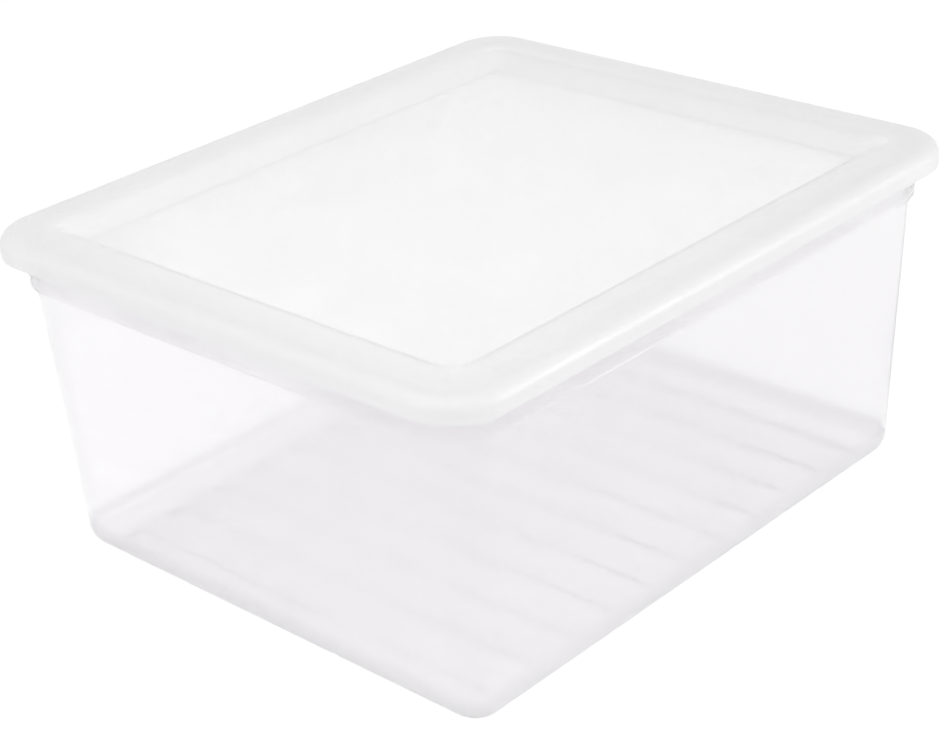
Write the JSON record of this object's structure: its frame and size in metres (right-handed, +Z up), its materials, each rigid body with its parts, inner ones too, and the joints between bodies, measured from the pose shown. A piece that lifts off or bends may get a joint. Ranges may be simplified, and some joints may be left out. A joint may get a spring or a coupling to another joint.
{
  "type": "storage box with lid",
  "caption": "Clear moulded storage box with leaning walls, a collar under the rim, a ribbed floor and a loose lid with a rolled edge and a recessed panel.",
  "frame": {"origin": "middle of the base, on the surface that the box stands on", "axes": "+Z up, Y along the long side, X along the short side"},
  "size_m": [0.338, 0.396, 0.188],
  "materials": {
    "clear_polypropylene": "clear moulded plastic, glossy outside",
    "frosted_polypropylene": "milky translucent moulded plastic, satin"
  },
  "bodies": {
    "tub": {"tub": "clear_polypropylene"},
    "lid": {"lid": "frosted_polypropylene"}
  },
  "joints": [
    {"name": "lid_lift", "type": "slide", "parent": "tub", "child": "lid", "axis": [0, 0, 1], "range_m": [0, 0.25]}
  ]
}
